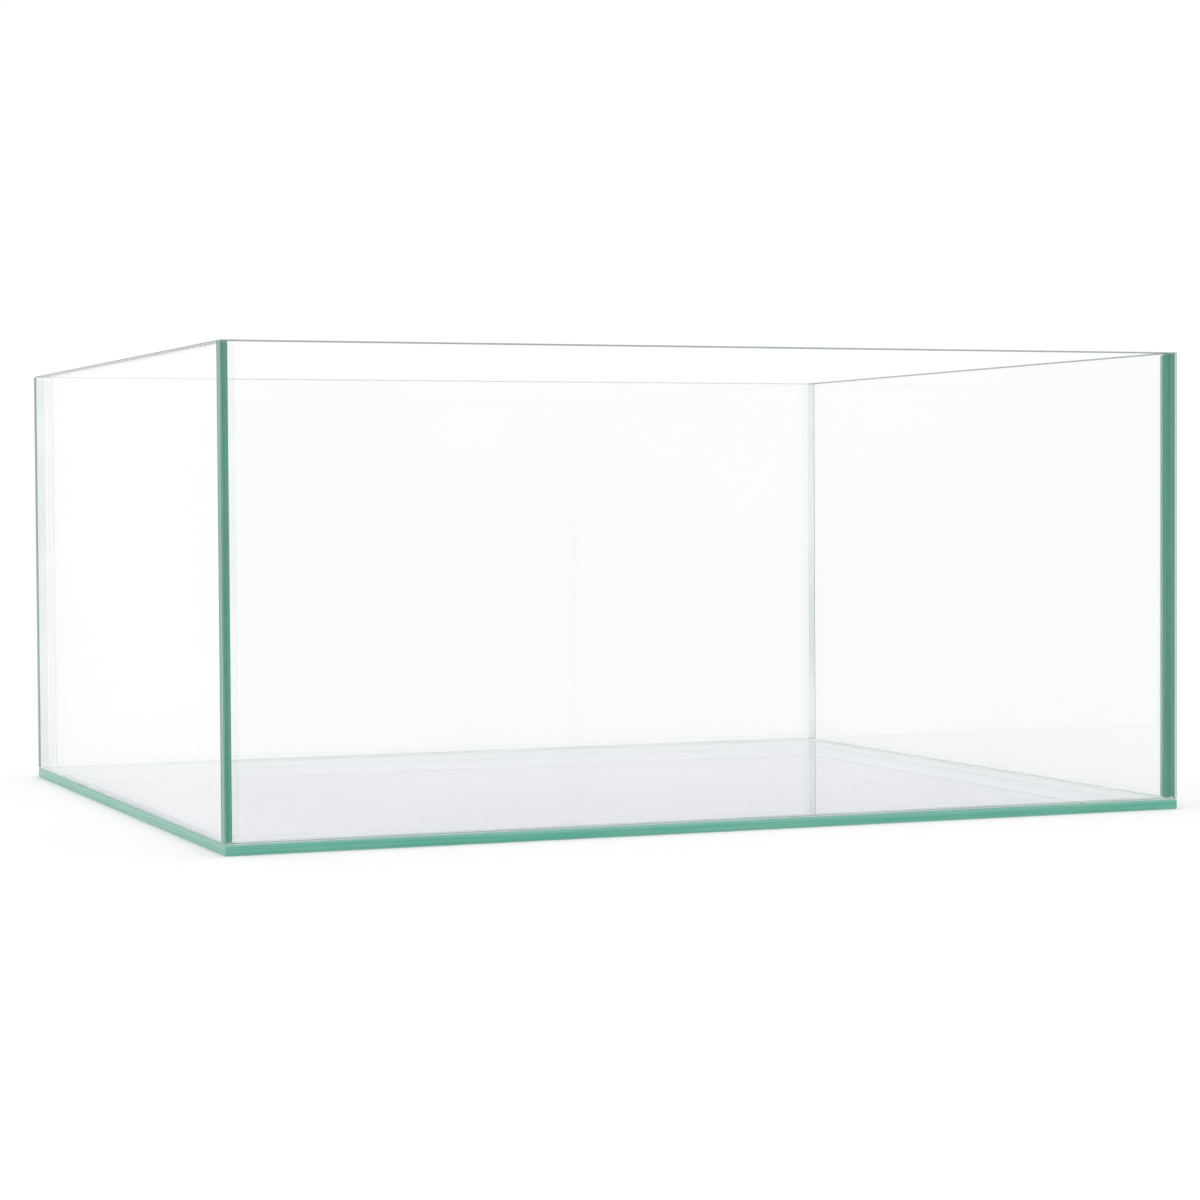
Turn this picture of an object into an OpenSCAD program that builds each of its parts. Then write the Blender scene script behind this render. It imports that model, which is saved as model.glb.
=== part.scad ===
// Rimless glass aquarium tank: five float glass panels, glued edge to face with silicone.
// The origin is the centre of the underside. X runs left to right, Y front to back, Z up.
// The four walls stand on the base panel, and the side walls stand between the front and the back.

/* [Tank] */
// Outside length, left to right
tank_length = 1500; // [600:10:2000]
// Outside depth, front to back
tank_depth = 1300; // [400:10:1500]
// Outside height, from the resting surface to the rim
tank_height = 700; // [300:10:800]

/* [Glass] */
// Thickness of every panel
glass_t = 15; // [8:1:19]
// Width of the polished 45 degree arris along every panel edge
arris = 1.5; // [0.5:0.1:2.5]

/* [Silicone] */
// Thickness of the film between two bonded panels
bond_t = 1; // [0.5:0.1:2]
// Width of the foot beads on the base and on the walls
foot_leg = 12; // [6:0.5:16]
// Thickness of the foot beads at their two outer edges
foot_lip = 0.8; // [0.6:0.1:1.2]
// Width of the upright beads on the two walls that they join
upright_leg = 10; // [5:0.5:15]
// Thickness of the upright beads at their two outer edges
upright_lip = 0.5; // [0.3:0.1:0.5]
// Distance from the rim down to the upper end of the upright beads
bead_drop = 4; // [2:0.5:10]
// Distance from the corner to the axis of a bead's hollow face, in bead widths
hollow_reach = 1.4; // [1.2:0.1:2]

/* [Hidden] */

$fn = 96;
glass_color = [0.50, 0.72, 0.65, 0.45];
silicone_color = [0.90, 0.92, 0.92, 0.70];

// Half sizes of the outside and of the water space in plan
out_x = tank_length / 2;
out_y = tank_depth / 2;
in_x = out_x - glass_t;
in_y = out_y - glass_t;
// Heights of the lower edge of the walls and of the upper end of the upright beads
wall_foot = glass_t + bond_t;
wall_h = tank_height - wall_foot;
wall_mid = wall_foot + wall_h / 2;
bead_top = tank_height - bead_drop;

// Rectangle about the origin with its corners cut at 45 degrees
module cut_rectangle(w, h, cut) {
    x = w / 2;
    y = h / 2;
    polygon([
        [cut - x, -y], [x - cut, -y], [x, cut - y], [x, y - cut],
        [x - cut, y], [cut - x, y], [-x, y - cut], [-x, cut - y]
    ]);
}

// Glass panel about the origin, with an arris along all twelve edges
module panel(size) {
    color(glass_color)
    intersection() {
        linear_extrude(size.z, center = true) cut_rectangle(size.x, size.y, arris);
        rotate([90, 0, 0])
            linear_extrude(size.y, center = true) cut_rectangle(size.x, size.z, arris);
        rotate([90, 0, 90])
            linear_extrude(size.x, center = true) cut_rectangle(size.y, size.z, arris);
    }
}

// Section of a bond: X runs inwards from the outer face, Y across the joint.
// It covers the flat of the panel's edge, and widens inside to fill that edge's inner arris.
module bond_section() {
    polygon([
        [arris, 0], [glass_t, 0], [glass_t, bond_t + arris],
        [glass_t - arris, bond_t], [arris, bond_t]
    ]);
}

// Section of a bead in its corner: one panel lies along X, the other along Y.
// A circle hollows its face and leaves a lip at both outer edges.
module bead_section(leg, lip) {
    axis = hollow_reach * leg;
    difference() {
        square(leg);
        translate([axis, axis]) circle(r = norm([axis - leg, axis - lip]));
    }
}

// Extrusions centred on the origin: along_x takes the section's X to Y and its Y to Z,
// and along_y takes its X to X and its Y to Z
module along_x(run) {
    rotate([90, 0, 90]) linear_extrude(run, center = true) children();
}

module along_y(run) {
    rotate([90, 0, 0]) linear_extrude(run, center = true) children();
}

// Film under the front wall, over the whole flat of the base
module front_foot_bond() {
    translate([0, -out_y, glass_t]) along_x(tank_length - 2 * arris) bond_section();
}

// Film under the left wall, between the front and the back film
module left_foot_bond() {
    translate([-out_x, 0, glass_t]) along_y(2 * in_y) bond_section();
}

// Film between the front wall and the end of the left wall, on top of the left wall's film
module front_left_bond() {
    difference() {
        translate([-out_x, -in_y, wall_foot])
            linear_extrude(wall_h - arris) bond_section();
        left_foot_bond();
    }
}

// Bead along the foot of the front wall, mitred along the diagonals of the corners
module front_foot_bead() {
    intersection() {
        translate([0, -in_y, glass_t]) along_x(2 * in_x) bead_section(foot_leg, foot_lip);
        linear_extrude(tank_height)
            polygon([[-out_x, -out_y], [out_x, -out_y], [0, out_x - out_y]]);
    }
}

// Bead along the foot of the left wall, mitred along the diagonals of the corners
module left_foot_bead() {
    intersection() {
        translate([-in_x, 0, glass_t]) along_y(2 * in_y) bead_section(foot_leg, foot_lip);
        linear_extrude(tank_height)
            polygon([[-out_x, out_y], [-out_x, -out_y], [out_y - out_x, 0]]);
    }
}

// Bead up the front left corner, cut to sit on the two foot beads
module front_left_bead() {
    difference() {
        translate([-in_x, -in_y, glass_t])
            linear_extrude(bead_top - glass_t) bead_section(upright_leg, upright_lip);
        front_foot_bead();
        left_foot_bead();
    }
}

// The same piece on the other side of the tank
module to_right() {
    mirror([1, 0, 0]) children();
}

module to_back() {
    mirror([0, 1, 0]) children();
}

module base_panel() {
    translate([0, 0, glass_t / 2]) panel([tank_length, tank_depth, glass_t]);
}

module front_panel() {
    translate([0, -out_y + glass_t / 2, wall_mid]) panel([tank_length, glass_t, wall_h]);
}

module left_panel() {
    translate([-out_x + glass_t / 2, 0, wall_mid])
        panel([glass_t, 2 * (in_y - bond_t), wall_h]);
}

module back_panel() to_back() front_panel();
module right_panel() to_right() left_panel();

module base_bond_front() color(silicone_color) front_foot_bond();
module base_bond_back() color(silicone_color) to_back() front_foot_bond();
module base_bond_left() color(silicone_color) left_foot_bond();
module base_bond_right() color(silicone_color) to_right() left_foot_bond();

module bond_front_left() color(silicone_color) front_left_bond();
module bond_front_right() color(silicone_color) to_right() front_left_bond();
module bond_back_left() color(silicone_color) to_back() front_left_bond();
module bond_back_right() color(silicone_color) to_right() to_back() front_left_bond();

module base_bead_front() color(silicone_color) front_foot_bead();
module base_bead_back() color(silicone_color) to_back() front_foot_bead();
module base_bead_left() color(silicone_color) left_foot_bead();
module base_bead_right() color(silicone_color) to_right() left_foot_bead();

module bead_front_left() color(silicone_color) front_left_bead();
module bead_front_right() color(silicone_color) to_right() front_left_bead();
module bead_back_left() color(silicone_color) to_back() front_left_bead();
module bead_back_right() color(silicone_color) to_right() to_back() front_left_bead();

base_panel();
front_panel();
back_panel();
left_panel();
right_panel();
base_bond_front();
base_bond_back();
base_bond_left();
base_bond_right();
bond_front_left();
bond_front_right();
bond_back_left();
bond_back_right();
base_bead_front();
base_bead_back();
base_bead_left();
base_bead_right();
bead_front_left();
bead_front_right();
bead_back_left();
bead_back_right();
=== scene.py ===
"""Looks of the rimless glass tank: clear panes with green polished edges, and silicone in the joints.

Everything is in metres, in the frame of the CAD model. Finer meshes stand for all the CAD nodes: the
panes get polished arrises, and the silicone gets the slight waviness of a joint tooled by hand.
"""

import math

import bmesh
import bpy
from mathutils import Matrix, Vector, noise


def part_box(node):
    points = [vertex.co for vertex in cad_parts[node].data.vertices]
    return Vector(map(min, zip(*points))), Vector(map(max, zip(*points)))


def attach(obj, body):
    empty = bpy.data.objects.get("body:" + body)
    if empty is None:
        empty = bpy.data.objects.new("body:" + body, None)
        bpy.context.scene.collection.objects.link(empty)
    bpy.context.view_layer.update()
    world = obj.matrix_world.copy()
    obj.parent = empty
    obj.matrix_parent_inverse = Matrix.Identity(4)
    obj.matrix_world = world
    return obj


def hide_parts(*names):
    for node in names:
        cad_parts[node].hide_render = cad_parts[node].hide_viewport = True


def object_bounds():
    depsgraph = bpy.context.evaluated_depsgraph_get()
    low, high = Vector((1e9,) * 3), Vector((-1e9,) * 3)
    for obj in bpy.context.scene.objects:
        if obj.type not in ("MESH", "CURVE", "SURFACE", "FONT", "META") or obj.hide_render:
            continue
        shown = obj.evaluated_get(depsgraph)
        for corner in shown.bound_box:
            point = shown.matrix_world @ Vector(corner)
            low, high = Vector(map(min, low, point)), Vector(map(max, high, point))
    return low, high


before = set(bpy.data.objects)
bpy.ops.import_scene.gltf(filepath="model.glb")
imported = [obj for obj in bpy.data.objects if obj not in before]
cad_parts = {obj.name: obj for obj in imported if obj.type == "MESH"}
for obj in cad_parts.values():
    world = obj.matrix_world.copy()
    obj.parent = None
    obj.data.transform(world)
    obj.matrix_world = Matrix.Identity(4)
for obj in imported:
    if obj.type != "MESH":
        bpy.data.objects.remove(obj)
cad_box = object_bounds()

# ---------------------------------------------------------------- sizes

MM = 0.001
LOW, HIGH = Vector(cad_box[0]), Vector(cad_box[1])
SAME = 0.1 * MM  # two planes closer than this are the same plane
SQUARE = 0.999  # a face whose normal has at least this part along an axis is square to it
ALONG = 0.5  # a face whose normal has less than this part along an axis runs along it
GAP = 0.04 * MM  # between silicone and glass, so that no two faces lie in one plane

INNER_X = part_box("right_panel")[0][0]
INNER_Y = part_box("back_panel")[0][1]
BASE_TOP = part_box("base_panel")[1][2]
WALL_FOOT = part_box("front_panel")[0][2]
THICK = HIGH.x - INNER_X
BOND = WALL_FOOT - BASE_TOP

ARRIS = 1.5 * MM  # 45 degree bevel along every pane edge
POLISH = 0.25 * MM  # rounding that polishing leaves on the arris's own two edges

FOOT_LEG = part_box("base_bead_front")[1][2] - BASE_TOP
UPRIGHT_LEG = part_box("bead_front_left")[1][0] + INNER_X
UPRIGHT_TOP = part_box("bead_front_left")[1][2]
LIP = 0.25 * MM  # thickness of a bead where it feathers out
HOLLOW_REACH = 1.4  # from the corner to the axis of a bead's hollow face, in bead widths
HOLLOW_STEPS = 12
STATION = 12 * MM  # between two sections of a bead or film
BEAD_SETBACK = 0.7 * MM  # how far a bead's wavy edge draws back at most
BEAD_SAG = 0.3 * MM  # how far a bead's hollow face moves in or out at most
FILM_SETBACK = 0.7 * MM  # how far a film's outer edge draws back at most
MENISCUS = 0.35 * MM  # depth of a film's hollow outer edge
END_FADE = 40 * MM  # a foot bead is straight near the mitres, so that two beads meet
TOP_TAPER = 7 * MM  # height of an upright bead's rounded upper end
TAPER_STEPS = 7

# ---------------------------------------------------------------- node trees


def new_tree(name):
    """An empty material and its node tree."""
    material = bpy.data.materials.new(name)
    material.use_nodes = True
    material.node_tree.nodes.clear()
    return material, material.node_tree


def add(tree, kind, inputs=None, **settings):
    """A new node with its settings, and its inputs set to values or joined to sockets."""
    made = tree.nodes.new(kind)
    for name, value in settings.items():
        setattr(made, name, value)
    for name, value in (inputs or {}).items():
        if isinstance(value, bpy.types.NodeSocket):
            tree.links.new(value, made.inputs[name])
        else:
            made.inputs[name].default_value = value
    return made


def calc(tree, operation, *values, clamp=False):
    """The output of a Math node."""
    inputs = dict(enumerate(values))
    return add(tree, "ShaderNodeMath", inputs, operation=operation, use_clamp=clamp).outputs[0]


def blend_colors(tree, share, first, second):
    """The colour between two fixed colours."""
    mix = add(tree, "ShaderNodeMix", {0: share}, data_type="RGBA")
    mix.inputs[6].default_value = (*first, 1)
    mix.inputs[7].default_value = (*second, 1)
    return mix.outputs[2]


def remap(tree, value, low, high, to_low=0.0, to_high=1.0):
    """value, taken smoothly from low..high to to_low..to_high."""
    inputs = {
        "Value": value, "From Min": low, "From Max": high, "To Min": to_low, "To Max": to_high,
    }
    made = add(tree, "ShaderNodeMapRange", inputs, interpolation_type="SMOOTHSTEP")
    return made.outputs["Result"]


def cloud(tree, place, scale, detail=2.0):
    """Noise between 0 and 1 over a place, stretched by scale."""
    moved = add(tree, "ShaderNodeMapping", {"Vector": place, "Scale": scale})
    inputs = {"Vector": moved.outputs[0], "Scale": 1.0, "Detail": detail}
    return add(tree, "ShaderNodeTexNoise", inputs).outputs[0]


def mix_shaders(tree, share, first, second):
    """The shader between two shaders."""
    return add(tree, "ShaderNodeMixShader", {0: share, 1: first, 2: second}).outputs[0]


def finish_material(tree, shader):
    add(tree, "ShaderNodeOutputMaterial", {"Surface": shader})


def object_place(tree):
    return add(tree, "ShaderNodeTexCoord").outputs["Object"]


def edge_place(tree):
    """Metres along an edge and across it, from the panes' map."""
    return add(tree, "ShaderNodeUVMap", uv_map="edge").outputs[0]


def slant(tree):
    """0 where a surface is seen straight on, 1 where it is seen edge on."""
    return add(tree, "ShaderNodeLayerWeight", {"Blend": 0.5}).outputs["Facing"]


def seen_from_inside(tree):
    return add(tree, "ShaderNodeNewGeometry").outputs["Backfacing"]


# ---------------------------------------------------------------- glass

HEAD_ON_MIRROR = 0.034  # share of light that one glass face mirrors when seen straight on
SCHLICK_POWER = 5.0
GLASS_IOR = 1.52
HAZE_MOST = 0.012  # share of a face that the haze left by wiping hides at most
HAZE_COLOR = (0.88, 0.9, 0.9, 1)
PALE_FROM = 3.0 * MM  # from the middle of an edge, where it starts to get paler
TINT_BLEND = 1.5 * MM  # to each side of the middle, where a window's two tints meet
RIM_WINDOW = (0.86, 0.88, 0.875, 1)  # tint of what shows through a rim's arris


def clear_body(tree, pale, deep):
    """What passes through a pane's face: nearly everything, less the haze left by wiping."""
    place = object_place(tree)
    wipe = cloud(tree, place, (2.2, 2.2, 5.0), detail=5.0)
    haze_share = remap(tree, wipe, 0.45, 0.8, 0.0, HAZE_MOST)
    depth = cloud(tree, place, (1.1, 1.1, 1.1))
    tint = blend_colors(tree, remap(tree, depth, 0.35, 0.65), pale, deep)
    through = add(tree, "ShaderNodeBsdfTransparent", {"Color": tint}).outputs[0]
    haze = add(tree, "ShaderNodeBsdfDiffuse", {"Color": HAZE_COLOR}).outputs[0]
    return mix_shaders(tree, haze_share, through, haze)


def clear_face(name, pale, deep, gloss_color):
    """The broad faces of a pane, almost clear, mirroring by Schlick's rule from both sides."""
    material, tree = new_tree(name)
    body = clear_body(tree, pale, deep)
    ripple = cloud(tree, object_place(tree), (3.0, 3.0, 1.2), detail=1.0)
    bump = add(tree, "ShaderNodeBump", {"Height": ripple, "Strength": 0.02, "Distance": 0.01})
    gloss = add(
        tree, "ShaderNodeBsdfGlossy",
        {"Color": (*gloss_color, 1), "Roughness": 0.015, "Normal": bump.outputs[0]},
    ).outputs[0]
    steep = calc(tree, "POWER", slant(tree), SCHLICK_POWER)
    share = calc(tree, "MULTIPLY_ADD", steep, 1 - HEAD_ON_MIRROR, HEAD_ON_MIRROR)
    finish_material(tree, mix_shaders(tree, share, body, gloss))
    return material


def wetted_face(name, green_share):
    """The strips of a face that silicone touches, which don't mirror.

    Seen aslant from the silicone's side, the light comes from far along the inside of the pane, so they
    look green. green_share says how much of that shows.
    """
    material, tree = new_tree(name)
    body = clear_body(tree, (0.994, 0.996, 0.995), (0.989, 0.992, 0.991))
    patchy = cloud(tree, object_place(tree), (40.0, 40.0, 5.0), detail=2.0)
    green = blend_colors(tree, patchy, (0.05, 0.40, 0.25), (0.10, 0.50, 0.34))
    depth = add(tree, "ShaderNodeBsdfDiffuse", {"Color": green}).outputs[0]
    outside = calc(tree, "SUBTRACT", 1.0, seen_from_inside(tree))
    share = calc(tree, "MULTIPLY", remap(tree, slant(tree), 0.25, 0.45, 0.0, green_share), outside)
    finish_material(tree, mix_shaders(tree, share, body, depth))
    return material


def polished_edge(name, greens, window, roughness, streak_share, bonded_window=None, lying=False):
    """A polished pane edge: green from the depth of glass behind it, streaked along its length.

    It is paler near both arrises, or on a lying pane near the upper one, where light gets in.
    From inside the glass the edge lets light out, so its back is a tinted window. The half of the
    window towards the tank takes the tint bonded_window, if given, of the wall that is bonded there.
    """
    material, tree = new_tree(name)
    place = edge_place(tree)
    across = add(tree, "ShaderNodeSeparateXYZ", {0: place}).outputs[1]
    streaks = cloud(tree, place, (1.6, 330.0, 1.0), detail=3.0)
    slow = cloud(tree, place, (5.0, 60.0, 1.0), detail=2.0)
    off_middle = across if lying else calc(tree, "ABSOLUTE", across)
    rim = remap(tree, off_middle, 0.0 if lying else PALE_FROM, THICK / 2)
    streak = remap(tree, streaks, 0.32, 0.68, 0.0, streak_share)
    drift = remap(tree, slow, 0.3, 0.7, 0.0, 0.3)
    light = calc(tree, "MULTIPLY_ADD", rim, 0.3, calc(tree, "ADD", streak, drift), clamp=True)
    color = blend_colors(tree, light, *greens)
    grind = cloud(tree, place, (60.0, 9000.0, 1.0), detail=2.0)
    wave = cloud(tree, place, (14.0, 420.0, 1.0), detail=1.0)
    height = calc(tree, "MULTIPLY_ADD", grind, 0.25, wave)
    bump = add(tree, "ShaderNodeBump", {"Height": height, "Strength": 0.12, "Distance": 0.0004})
    rough = remap(tree, streaks, 0.3, 0.7, roughness * 0.7, roughness * 1.5)
    solid = add(
        tree, "ShaderNodeBsdfPrincipled",
        {
            "Base Color": color, "Roughness": rough, "IOR": GLASS_IOR, "Specular IOR Level": 0.3,
            "Normal": bump.outputs[0],
        },
    ).outputs[0]
    tint = (*window, 1)
    if bonded_window:
        bonded = remap(tree, across, -TINT_BLEND, TINT_BLEND)
        tint = blend_colors(tree, bonded, window, bonded_window)
    through = add(tree, "ShaderNodeBsdfTransparent", {"Color": tint}).outputs[0]
    finish_material(tree, mix_shaders(tree, seen_from_inside(tree), solid, through))
    return material


def rim_arris(name, deep, pale, clear_share):
    """The bevels along a rim, which mirror the surroundings and look grey."""
    material, tree = new_tree(name)
    place = edge_place(tree)
    nicks = cloud(tree, place, (220.0, 900.0, 1.0), detail=4.0)
    slow = cloud(tree, place, (7.0, 7.0, 1.0), detail=2.0)
    color = blend_colors(tree, slow, deep, pale)
    bump = add(tree, "ShaderNodeBump", {"Height": nicks, "Strength": 0.3, "Distance": 0.0002})
    rough = remap(tree, nicks, 0.3, 0.7, 0.22, 0.5)
    solid = add(
        tree, "ShaderNodeBsdfPrincipled",
        {"Base Color": color, "Roughness": rough, "IOR": GLASS_IOR, "Normal": bump.outputs[0]},
    ).outputs[0]
    through = add(tree, "ShaderNodeBsdfTransparent", {"Color": RIM_WINDOW}).outputs[0]
    finish_material(tree, mix_shaders(tree, clear_share, solid, through))
    return material


CLEAR = clear_face("clear_face", (0.990, 0.991, 0.991), (0.981, 0.983, 0.983), (1.0, 1.0, 1.0))
# The base's faces are tinted darker and bluer than the walls' and mirror in bluish grey: painted shade
# of the floor under the tank and a painted bluish reflection
SHADED_BASE_CLEAR = clear_face(
    "base_face_painted_shade", (0.952, 0.953, 0.966), (0.916, 0.918, 0.936), (0.92, 0.922, 0.945)
)
WETTED = wetted_face("wetted_face", green_share=0.0)
WETTED_FRONT = wetted_face("wetted_front", green_share=0.9)

# The flat edges: rims, the ends of the front and of the back pane, the base, and bonded edges
EDGE_GREENS = ((0.06, 0.25, 0.17), (0.20, 0.40, 0.31))
OPEN_EDGE = polished_edge(
    "open_edge", EDGE_GREENS, window=(0.56, 0.60, 0.585), roughness=0.12, streak_share=0.6
)
FRONT_END = polished_edge(
    "front_end", EDGE_GREENS, window=(0.60, 0.68, 0.65), roughness=0.12, streak_share=0.6,
    bonded_window=(0.12, 0.27, 0.20),
)
# The back pane's ends and rim take darker greens than the front pane's, which is painted shade, and a
# clearer window, which is painted light that makes its rim line fade
BACK_END = polished_edge(
    "back_end", ((0.05, 0.17, 0.12), (0.13, 0.28, 0.21)), window=(0.945, 0.955, 0.95),
    roughness=0.12, streak_share=0.6,
)
BASE_EDGE = polished_edge(
    "base_edge", ((0.07, 0.36, 0.265), (0.20, 0.46, 0.37)), window=(0.84, 0.89, 0.87),
    roughness=0.12, streak_share=0.5, lying=True,
)
BONDED_EDGE = polished_edge(
    "bonded_edge", ((0.045, 0.41, 0.26), (0.12, 0.52, 0.36)), window=(0.95, 0.965, 0.96),
    roughness=0.25, streak_share=0.7,
)

# The arrises: upright ones in front and at the back, those of the base, the walls' feet and the rims
ARRIS_GREENS = ((0.05, 0.24, 0.165), (0.17, 0.37, 0.29))
FRONT_ARRIS = polished_edge(
    "front_arris", ARRIS_GREENS, window=(0.84, 0.88, 0.865), roughness=0.35, streak_share=0.5,
    bonded_window=(0.11, 0.26, 0.19),
)
BACK_ARRIS = polished_edge(
    "back_arris", ARRIS_GREENS, window=(0.945, 0.955, 0.95), roughness=0.35, streak_share=0.5
)
BASE_ARRIS = polished_edge(
    "base_arris", ((0.12, 0.40, 0.31), (0.27, 0.53, 0.44)), window=(0.88, 0.91, 0.90),
    roughness=0.35, streak_share=0.5,
)
# The walls' outer foot arrises are painted paler and greyer than the other arrises: painted light that
# lifts the shade in the crease above the base
FOOT_ARRIS = polished_edge(
    "foot_arris", ((0.36, 0.48, 0.43), (0.48, 0.58, 0.54)), window=(0.94, 0.955, 0.95),
    roughness=0.35, streak_share=0.5,
)
RIM_ARRIS = rim_arris("rim_arris", (0.30, 0.31, 0.305), (0.44, 0.45, 0.445), clear_share=0.2)
# Lit and shaded copies of the rim arris: the left pane's rim is painted darker, which is painted shade,
# and the back pane's rim is lighter and clearer, which is painted light, so that its line fades
SHADED_LEFT_RIM_ARRIS = rim_arris(
    "left_rim_arris_painted_shade", (0.17, 0.175, 0.175), (0.28, 0.285, 0.285), clear_share=0.1
)
LIT_BACK_RIM_ARRIS = rim_arris(
    "back_rim_arris_painted_light", (0.76, 0.775, 0.77), (0.86, 0.87, 0.865), clear_share=0.7
)
OTHER_RIM_ARRISES = {"pane_left": SHADED_LEFT_RIM_ARRIS, "pane_back": LIT_BACK_RIM_ARRIS}

# Numbers of the looks, in the order in which pane_looks gives a pane's materials
FACE_LOOK, OPEN_LOOK, BONDED_LOOK, END_LOOK = range(4)
WETTED_LOOK, WETTED_FRONT_LOOK = range(4, 6)
FRONT_ARRIS_LOOK, BACK_ARRIS_LOOK, RIM_ARRIS_LOOK, FOOT_ARRIS_LOOK = range(6, 10)

# ---------------------------------------------------------------- silicone looks

SILICONE_IOR = 1.41
SILICONE_ROUGHNESS = 0.28
SILICONE_WINDOW = (0.99, 0.993, 0.993, 1)  # tint of what shows through silicone


def clear_silicone(name, body_share, low, high):
    """Cured clear silicone: see-through, slightly milky, with a soft wet gloss."""
    material, tree = new_tree(name)
    place = object_place(tree)
    milk = cloud(tree, place, (45.0, 45.0, 45.0), detail=3.0)
    slow = cloud(tree, place, (6.0, 6.0, 6.0), detail=2.0)
    share = remap(tree, slow, 0.3, 0.7, 0.4 * body_share, 1.6 * body_share)
    tooled = cloud(tree, place, (120.0, 120.0, 120.0), detail=2.0)
    bump = add(tree, "ShaderNodeBump", {"Height": tooled, "Strength": 0.12, "Distance": 0.0006})
    shade = blend_colors(tree, milk, low, high)
    solid = add(
        tree, "ShaderNodeBsdfPrincipled",
        {
            "Base Color": shade, "Roughness": SILICONE_ROUGHNESS, "IOR": SILICONE_IOR,
            "Normal": bump.outputs[0],
        },
    ).outputs[0]
    through = add(tree, "ShaderNodeBsdfTransparent", {"Color": SILICONE_WINDOW}).outputs[0]
    finish_material(tree, mix_shaders(tree, share, through, solid))
    return material


BEAD = clear_silicone("silicone_bead", 0.06, (0.96, 0.97, 0.975), (0.99, 0.99, 0.99))
# The film's colours are green, not milky white: painted light, which stands for the green light that
# reaches it through the glass edges around it
FILM = clear_silicone("silicone_film", 0.08, (0.30, 0.50, 0.42), (0.42, 0.60, 0.52))

# ---------------------------------------------------------------- panes


def new_object(name, mesh, materials):
    made = bpy.data.objects.new(name, mesh)
    bpy.context.scene.collection.objects.link(made)
    for material in materials:
        mesh.materials.append(material)
    return made


def finish_piece(name, bm, materials, node):
    """A finished mesh as a piece that stands for its CAD node."""
    mesh = bpy.data.meshes.new(name)
    bm.to_mesh(mesh)
    bm.free()
    piece = new_object(name, mesh, materials)
    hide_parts(node)
    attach(piece, "root")


def map_edges(bm, thin, inward):
    """Writes the map "edge" in metres: along the run of each narrow face, and across the pane.

    inward is 1 or -1, so that the distance across grows towards the water. Each face's number is added
    along it, so that no two faces are streaked alike.
    """
    layer = bm.loops.layers.uv.new("edge")
    for number, face in enumerate(bm.faces):
        runs = [k for k in range(3) if k != thin and abs(face.normal[k]) < ALONG]
        run = runs[0] if runs else thin
        for loop in face.loops:
            loop[layer].uv = (loop.vert.co[run] + number, inward * loop.vert.co[thin])


def bead_lines(thin):
    """Where a pane's look changes within a face, at beads and corners: pairs of an axis and a place."""
    foot_x, foot_y = INNER_X - FOOT_LEG, INNER_Y - FOOT_LEG
    if thin == 2:
        return [(0, -foot_x), (0, foot_x), (1, -foot_y), (1, foot_y)]
    along = 1 - thin
    corner = (INNER_X, INNER_Y)[along]
    places = [side * (corner - leg) for side in (-1, 1) for leg in (0, UPRIGHT_LEG)]
    return [(along, place) for place in places] + [(2, BASE_TOP + FOOT_LEG), (2, UPRIGHT_TOP)]


def cut_mesh(bm, lines, middle):
    """Edge loops right round a mesh whose origin is at middle."""
    for axis, place in lines:
        normal = Vector([float(axis == k) for k in range(3)])
        geom = bm.verts[:] + bm.edges[:] + bm.faces[:]
        bmesh.ops.bisect_plane(
            bm, geom=geom, plane_co=normal * (place - middle[axis]), plane_no=normal
        )


def broad_look(place, thin):
    """The look of a piece of a pane's broad face: clear, or wetted by the silicone on it."""
    if thin == 2:
        under_bead = abs(place.x) > INNER_X - FOOT_LEG or abs(place.y) > INNER_Y - FOOT_LEG
        return WETTED_LOOK if place.z > SAME and under_bead else FACE_LOOK
    along = 1 - thin
    if abs(place[thin]) > HIGH[thin] - SAME or place.z > UPRIGHT_TOP:
        return FACE_LOOK
    if abs(place[along]) > (INNER_X, INNER_Y)[along] - UPRIGHT_LEG:
        return WETTED_FRONT_LOOK if place.y < 0 else WETTED_LOOK
    return WETTED_LOOK if place.z < BASE_TOP + FOOT_LEG else FACE_LOOK


def arris_look(place, thin):
    """The look of a piece of an arris, by where it is on the tank."""
    if place.z > HIGH.z - ARRIS - SAME:
        return RIM_ARRIS_LOOK
    if thin != 2 and place.z < WALL_FOOT + ARRIS + SAME:
        if abs(place[thin]) < HIGH[thin] - THICK / 2:
            return WETTED_LOOK
        if thin == 0 or abs(place.x) < INNER_X:
            return FOOT_ARRIS_LOOK
    return FRONT_ARRIS_LOOK if place.y < 0 else BACK_ARRIS_LOOK


def choose_look(face, middle, thin):
    """Which of the pane's looks a face takes."""
    axis = max(range(3), key=lambda a: abs(face.normal[a]))
    place = face.calc_center_median() + middle
    if abs(face.normal[axis]) <= SQUARE:
        return arris_look(place, thin)
    if axis == thin:
        return broad_look(place, thin)
    outside = min(abs(place[axis] - LOW[axis]), abs(place[axis] - HIGH[axis])) < SAME
    if not outside:
        return BONDED_LOOK
    return OPEN_LOOK if axis == 2 or thin == 2 else END_LOOK


def pane_looks(name, thin):
    """A pane's materials, in the order of the look numbers."""
    wetted = (WETTED, WETTED_FRONT)
    rim = OTHER_RIM_ARRISES.get(name, RIM_ARRIS)
    arrises = (FRONT_ARRIS, BACK_ARRIS, rim, FOOT_ARRIS)
    if thin == 2:
        return (SHADED_BASE_CLEAR, BASE_EDGE, BONDED_EDGE, FRONT_END, *wetted, *[BASE_ARRIS] * 4)
    if name == "pane_back":
        return (CLEAR, BACK_END, BONDED_EDGE, BACK_END, *wetted, *arrises)
    return (CLEAR, OPEN_EDGE, BONDED_EDGE, FRONT_END, *wetted, *arrises)


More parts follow.
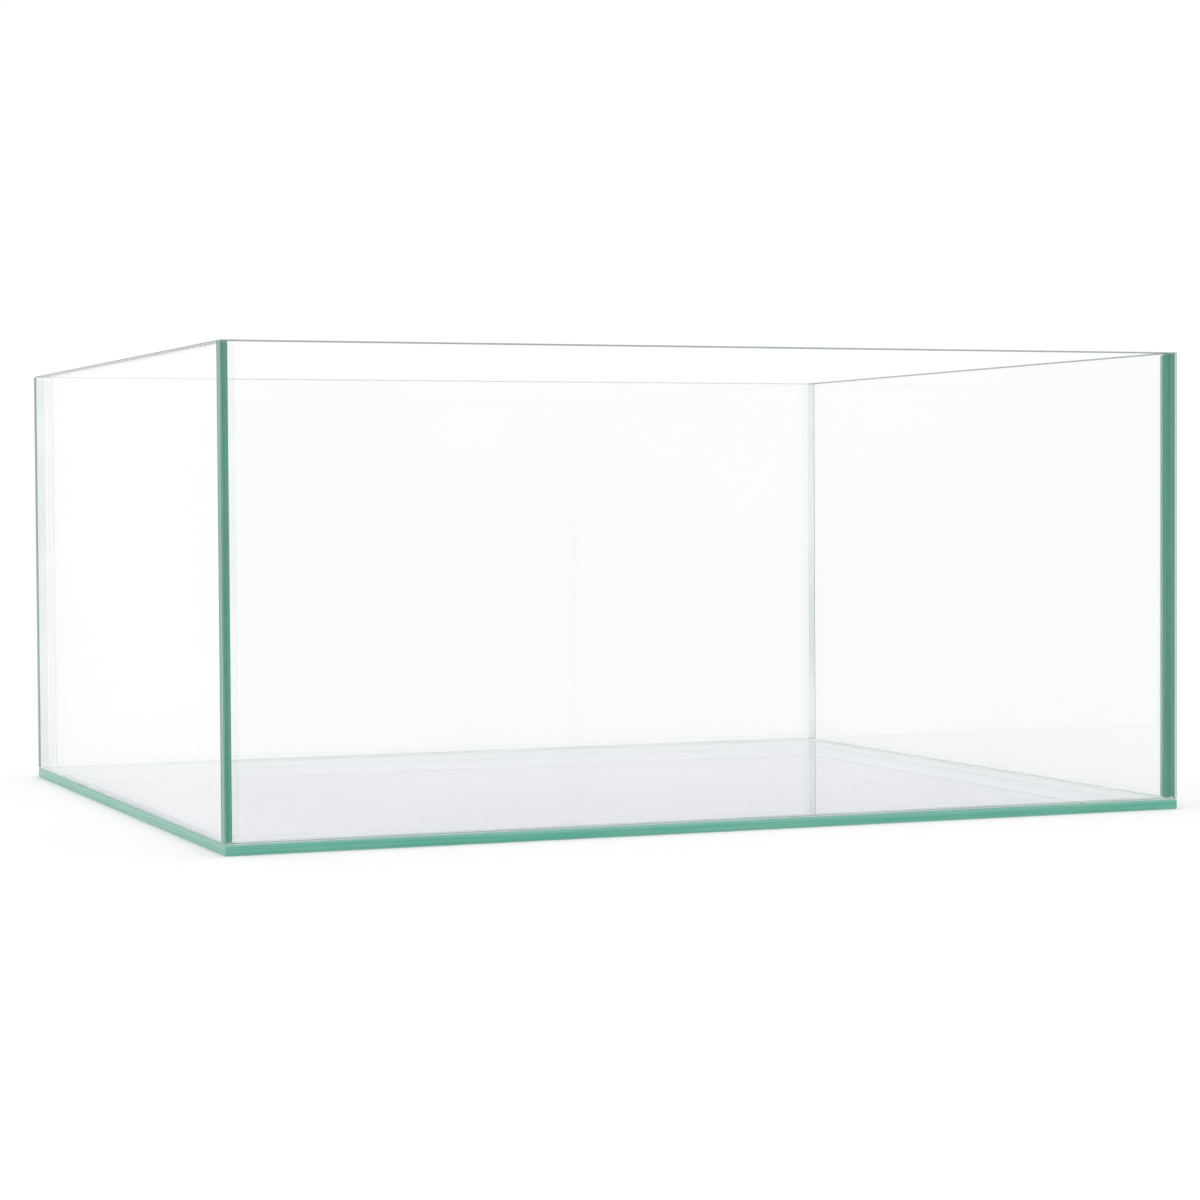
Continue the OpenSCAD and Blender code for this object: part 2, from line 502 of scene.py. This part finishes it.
def make_pane(name, node):
    """A pane with bevelled and polished edges, in place of its CAD node."""
    low, high = (Vector(corner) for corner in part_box(node))
    size = high - low
    middle = (low + high) / 2
    thin = min(range(3), key=lambda axis: size[axis])
    bm = bmesh.new()
    bmesh.ops.create_cube(bm, size=1.0)
    bmesh.ops.scale(bm, vec=size, verts=bm.verts)
    bmesh.ops.bevel(bm, geom=bm.edges[:], offset=ARRIS, segments=1, affect="EDGES")
    bmesh.ops.bevel(
        bm, geom=bm.edges[:], offset=POLISH, segments=2, profile=0.5, affect="EDGES",
        clamp_overlap=True,
    )
    bm.normal_update()
    map_edges(bm, thin, 1 if thin == 2 or middle[thin] < 0 else -1)
    cut_mesh(bm, bead_lines(thin), middle)
    bm.normal_update()
    for face in bm.faces:
        face.material_index = choose_look(face, middle, thin)
        face.smooth = face.material_index >= FRONT_ARRIS_LOOK
    bmesh.ops.translate(bm, vec=middle, verts=bm.verts)
    finish_piece(name, bm, pane_looks(name, thin), node)


for wall in ("base", "front", "back", "left", "right"):
    make_pane(f"pane_{wall}", f"{wall}_panel")

# ---------------------------------------------------------------- silicone

SHARP_ANGLE = math.radians(35)  # a crease from this angle on
SLOW_WAVES, QUICK_WAVES = 9.0, 55.0  # cells of the noise in a metre of joint
SLOW_SHARE, QUICK_SHARE = 1.3, 0.5
SETBACK_SEEDS = (0.1, 0.2)  # added to a bead's seed for its two wavy edges
SAG_SEED = 0.3  # added for its hollow face


def waver(seed, place):
    """Slow and quick waviness along a joint, from -1 to 1. Joints with other seeds waver otherwise."""
    slow = noise.noise(Vector((place * SLOW_WAVES, seed * 3.7, 0.5)))
    quick = noise.noise(Vector((place * QUICK_WAVES, seed * 5.3, 2.5)))
    return max(-1.0, min(1.0, SLOW_SHARE * slow + QUICK_SHARE * quick))


def draw_back(seed, place, most):
    """How far an edge stays short of its full width there."""
    return most * (0.5 + 0.5 * waver(seed, place))


def stations(low, high):
    """Evenly spaced places from low to high."""
    count = math.ceil((high - low) / STATION)
    return [low + (high - low) * k / count for k in range(count + 1)]


def loft(name, rings, looks, node, air=()):
    """A closed skin over sections that all have the same number of points.

    The strips whose numbers are in air take the second look.
    """
    bm = bmesh.new()
    drawn = [[bm.verts.new(point) for point in ring] for ring in rings]
    for first, second in zip(drawn, drawn[1:]):
        for k in range(len(first)):
            m = (k + 1) % len(first)
            strip = bm.faces.new((first[k], first[m], second[m], second[k]))
            strip.material_index = 1 if k in air else 0
    caps = [bm.faces.new(drawn[0][::-1]), bm.faces.new(drawn[-1])]
    bmesh.ops.triangulate(bm, faces=caps, ngon_method="EAR_CLIP")
    bmesh.ops.recalc_face_normals(bm, faces=bm.faces)
    for face in bm.faces:
        face.smooth = True
    for edge in bm.edges:
        edge.smooth = edge.calc_face_angle(0.0) < SHARP_ANGLE
    finish_piece(name, bm, looks, node)


def hollow(leg):
    """The axis and radius of the hollow face of a bead."""
    axis = HOLLOW_REACH * leg
    return axis, math.hypot(axis - leg, axis - LIP)


def bead_section(leg, first_cut, second_cut, sag):
    """A bead's section in its corner, as distances from the first and the second glass face.

    The cuts shorten its width on either face, and sag moves the middle of its hollow face.
    """
    axis, radius = hollow(leg)
    start = math.atan2(LIP - axis, leg - axis)
    end = math.atan2(leg - axis, LIP - axis)
    points = [(GAP, GAP), (leg - first_cut, GAP)]
    for k in range(HOLLOW_STEPS + 1):
        share = k / HOLLOW_STEPS
        turn = start + (end - start) * share
        bulge = sag * math.sin(math.pi * share)
        u = axis + radius * math.cos(turn) + bulge
        v = axis + radius * math.sin(turn) + bulge
        points.append((u * (1 - first_cut / leg), v * (1 - second_cut / leg)))
    points.append((GAP, leg - second_cut))
    return points


def foot_height(distance):
    """Height of a foot bead's face above the base, at a distance from its wall."""
    axis, radius = hollow(FOOT_LEG)
    beyond = axis - max(distance, LIP)
    return axis - math.sqrt(max(radius**2 - beyond**2, 0.0))


def make_foot_bead(name, node, run, side, seed):
    """A bead along the foot of one wall, mitred at both ends. run is the axis that it follows."""
    half = (INNER_X, INNER_Y)[run]
    wall = side * (INNER_X, INNER_Y)[1 - run]
    rings = []
    for place in stations(-half, half):
        calm = min(1.0, (half - abs(place)) / END_FADE)
        cuts = [calm * draw_back(seed + k, place, BEAD_SETBACK) for k in SETBACK_SEEDS]
        section = bead_section(FOOT_LEG, *cuts, calm * BEAD_SAG * waver(seed + SAG_SEED, place))
        ring = []
        for inward, up in section:
            point = Vector((0, 0, BASE_TOP + up))
            point[run] = place * (half - inward - GAP) / half
            point[1 - run] = wall - side * inward
            ring.append(point)
        rings.append(ring)
    loft(name, rings, (BEAD,), node)


def make_upright_bead(name, node, side_x, side_y, seed):
    """A bead up one corner: it sits on the two foot beads, and its upper end is rounded off."""
    shoulder = UPRIGHT_TOP - TOP_TAPER
    levels = [(z, 1.0) for z in stations(BASE_TOP + FOOT_LEG + STATION / 4, shoulder)]
    for k in range(1, TAPER_STEPS):
        share = k / TAPER_STEPS
        levels.append((shoulder + TOP_TAPER * share, math.sqrt(1 - share**2)))
    rings = []
    for level, scale in [(None, 1.0), *levels]:
        z = levels[0][0] if level is None else level
        cuts = [draw_back(seed + k, z, BEAD_SETBACK) for k in SETBACK_SEEDS]
        section = bead_section(UPRIGHT_LEG, *cuts, BEAD_SAG * waver(seed + SAG_SEED, z))
        ring = []
        for u, v in section:
            u, v = max(u * scale, GAP), max(v * scale, GAP)
            on_feet = BASE_TOP + max(foot_height(u), foot_height(v)) + GAP
            height = on_feet if level is None else level
            ring.append(Vector((side_x * (INNER_X - u), side_y * (INNER_Y - v), height)))
        rings.append(ring)
    loft(name, rings, (BEAD,), node)


MENISCUS_STRIPS = (4, 5)  # the two strips of a film's section that end at its hollow outer edge


def film_section(cut):
    """A film's section: distance in from the outer face, and distance across the joint.

    It fills the joint and the inner arris, and its outer edge is a hollow meniscus.
    """
    outer = ARRIS + cut
    return [
        (outer, GAP), (THICK - GAP, GAP), (THICK - GAP, BOND + ARRIS - 2 * GAP),
        (THICK - ARRIS, BOND - GAP), (outer, BOND - GAP), (outer + MENISCUS, BOND / 2),
    ]


def make_foot_film(name, node, run, side, seed):
    """The film under one wall."""
    half = (HIGH.x - ARRIS, INNER_Y)[run] - GAP
    outer = side * HIGH[1 - run]
    rings = []
    for place in stations(-half, half):
        ring = []
        for inward, across in film_section(draw_back(seed, place, FILM_SETBACK)):
            point = Vector((0, 0, BASE_TOP + across))
            point[run] = place
            point[1 - run] = outer - side * inward
            ring.append(point)
        rings.append(ring)
    loft(name, rings, (FILM, BEAD), node, air=MENISCUS_STRIPS)


def make_upright_film(name, node, side_x, side_y, seed):
    """The film between the front or back wall and the end of a side wall, on that wall's own film."""
    rings = []
    for place in stations(WALL_FOOT + GAP, HIGH.z - ARRIS - GAP):
        ring = []
        for inward, across in film_section(draw_back(seed, place, FILM_SETBACK)):
            on_film = WALL_FOOT + GAP + max(0.0, inward - (THICK - ARRIS))
            x, y = side_x * (HIGH.x - inward), side_y * (INNER_Y - across)
            ring.append(Vector((x, y, max(place, on_film))))
        rings.append(ring)
    loft(name, rings, (FILM, BEAD), node, air=MENISCUS_STRIPS)


WALLS = {"front": (0, -1), "back": (0, 1), "left": (1, -1), "right": (1, 1)}
FILM_SEED = 10  # added to the number of a wall or corner for its film
CORNER_SEED = 20
for seed, (wall, (run, side)) in enumerate(WALLS.items()):
    make_foot_bead(f"foot_bead_{wall}", f"base_bead_{wall}", run, side, seed)
    make_foot_film(f"foot_film_{wall}", f"base_bond_{wall}", run, side, seed + FILM_SEED)

CORNERS = {
    "front_left": (-1, -1), "front_right": (1, -1), "back_left": (-1, 1), "back_right": (1, 1),
}
for seed, (corner, (side_x, side_y)) in enumerate(CORNERS.items(), start=CORNER_SEED):
    make_upright_bead(f"upright_bead_{corner}", f"bead_{corner}", side_x, side_y, seed)
    make_upright_film(f"upright_film_{corner}", f"bond_{corner}", side_x, side_y, seed + FILM_SEED)

# ---------------------------------------------------------------- studio

FLOOR_GAP = 0.5 * MM  # keeps the underside of the base and the floor apart
FLOOR_REACH = 120.0  # from the middle to each side
SENSOR_WIDTH = 36.0
FAR_CLIP = 500.0


def studio_floor():
    """A matt white sweep with the faintest mottle."""
    material, tree = new_tree("studio_floor")
    mottle = cloud(tree, object_place(tree), (1.5, 1.5, 1.5), detail=3.0)
    color = blend_colors(tree, mottle, (0.925, 0.925, 0.925), (0.94, 0.94, 0.94))
    matt = add(tree, "ShaderNodeBsdfDiffuse", {"Color": color}).outputs[0]
    finish_material(tree, matt)
    return material


def make_floor():
    bm = bmesh.new()
    bmesh.ops.create_grid(bm, x_segments=8, y_segments=8, size=FLOOR_REACH)
    bmesh.ops.translate(bm, vec=(0, 0, LOW.z - FLOOR_GAP), verts=bm.verts)
    mesh = bpy.data.meshes.new("studio_floor")
    bm.to_mesh(mesh)
    bm.free()
    new_object("studio_floor", mesh, (studio_floor(),))


def make_world(strength):
    world = bpy.data.worlds.new("studio")
    world.use_nodes = True
    tree = world.node_tree
    tree.nodes.clear()
    sky = add(tree, "ShaderNodeBackground", {"Color": (1, 1, 1, 1), "Strength": strength})
    add(tree, "ShaderNodeOutputWorld", {"Surface": sky.outputs[0]})
    bpy.context.scene.world = world


def make_sun(strength, spread, place):
    """A broad sun that shines from a place towards the origin."""
    lamp = bpy.data.lights.new("key", "SUN")
    lamp.energy = strength
    lamp.angle = math.radians(spread)
    lamp_object = bpy.data.objects.new("key", lamp)
    lamp_object.rotation_euler = (-Vector(place)).to_track_quat("-Z", "Y").to_euler()
    bpy.context.scene.collection.objects.link(lamp_object)


def make_camera(place, yaw, pitch, roll, lens):
    camera = bpy.data.cameras.new("camera")
    camera.lens = lens
    camera.sensor_width = SENSOR_WIDTH
    camera.clip_end = FAR_CLIP
    camera_object = bpy.data.objects.new("camera", camera)
    turn = (
        Matrix.Rotation(math.radians(yaw), 4, "Z")
        @ Matrix.Rotation(math.radians(pitch), 4, "X")
        @ Matrix.Rotation(math.radians(roll), 4, "Z")
    )
    camera_object.matrix_world = Matrix.Translation(place) @ turn
    bpy.context.scene.collection.objects.link(camera_object)
    bpy.context.scene.camera = camera_object


make_floor()
make_world(strength=1.03)
make_sun(strength=0.33, spread=50.0, place=(-4.0, -3.0, 5.0))
make_camera((-1.776, -4.654, 0.484), yaw=-21.47, pitch=88.06, roll=-0.35, lens=91.08)

scene = bpy.context.scene
scene.view_settings.view_transform = "Standard"
scene.cycles.use_denoising = True
scene.cycles.max_bounces = 24
scene.cycles.glossy_bounces = 12
scene.cycles.transparent_max_bounces = 96
